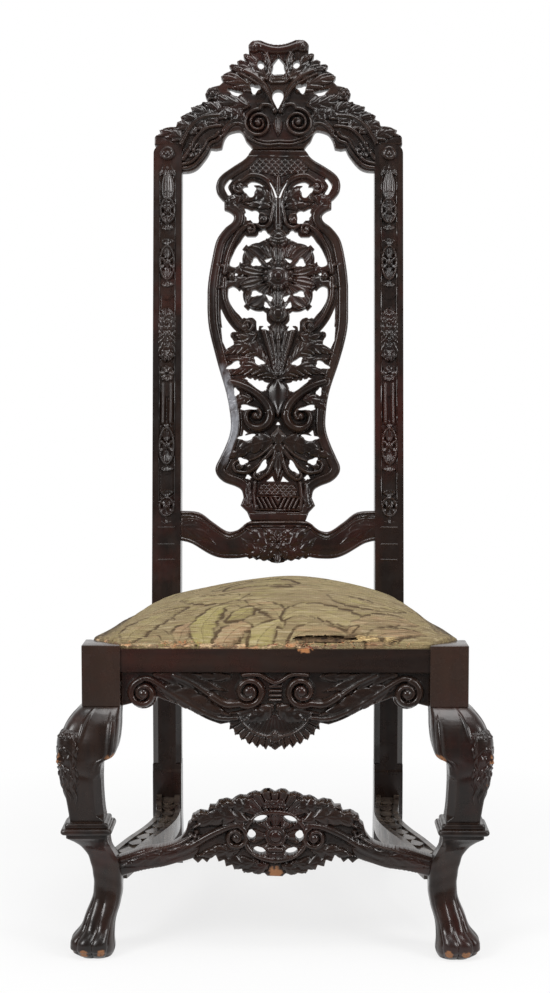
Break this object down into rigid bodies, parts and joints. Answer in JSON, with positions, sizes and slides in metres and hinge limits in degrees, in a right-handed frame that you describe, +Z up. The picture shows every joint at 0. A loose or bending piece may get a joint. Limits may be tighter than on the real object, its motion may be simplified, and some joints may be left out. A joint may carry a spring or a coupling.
{
  "type": "hall chair",
  "caption": "High-back carved wooden hall chair with a pierced splat, cabriole front legs on paw feet, pierced stretcher and a drop-in upholstered seat.",
  "frame": {"origin": "on the floor, at the centre of the chair's box", "axes": "+Z up, the chair faces -Y, +X to the right of someone looking at its front"},
  "size_m": [0.5788, 0.5638, 1.2992],
  "materials": {
    "frame_wood": "dark stained and waxed",
    "inner_wood": "bare sawn wood",
    "webbing": "jute webbing",
    "hessian": "coarse hessian",
    "stuffing": "fibre stuffing",
    "tapestry": "worn woven tapestry",
    "tack_iron": "dull iron"
  },
  "bodies": {
    "frame": {"back_post_left": "frame_wood", "back_post_right": "frame_wood", "crest_rail": "frame_wood", "splat": "frame_wood", "lower_back_rail": "frame_wood", "rear_seat_rail": "frame_wood", "front_seat_rail": "frame_wood", "side_seat_rail_left": "frame_wood", "side_seat_rail_right": "frame_wood", "front_leg_left": "frame_wood", "front_leg_right": "frame_wood", "apron": "frame_wood", "front_stretcher": "frame_wood", "side_stretcher_left": "frame_wood", "side_stretcher_right": "frame_wood", "corner_blocks": "inner_wood", "apron_blocks": "inner_wood", "joint_pegs": "inner_wood"},
    "drop_in_seat": {"slip_rail_front": "inner_wood", "slip_rail_rear": "inner_wood", "slip_rail_left": "inner_wood", "slip_rail_right": "inner_wood", "webbing": "webbing", "hessian": "hessian", "seat_pad": "stuffing", "seat_cover": "tapestry", "cover_tacks": "tack_iron"}
  },
  "joints": [
    {"name": "seat_lift", "type": "slide", "parent": "frame", "child": "drop_in_seat", "axis": [0, 0, 1], "range_m": [0, 0.12]}
  ]
}
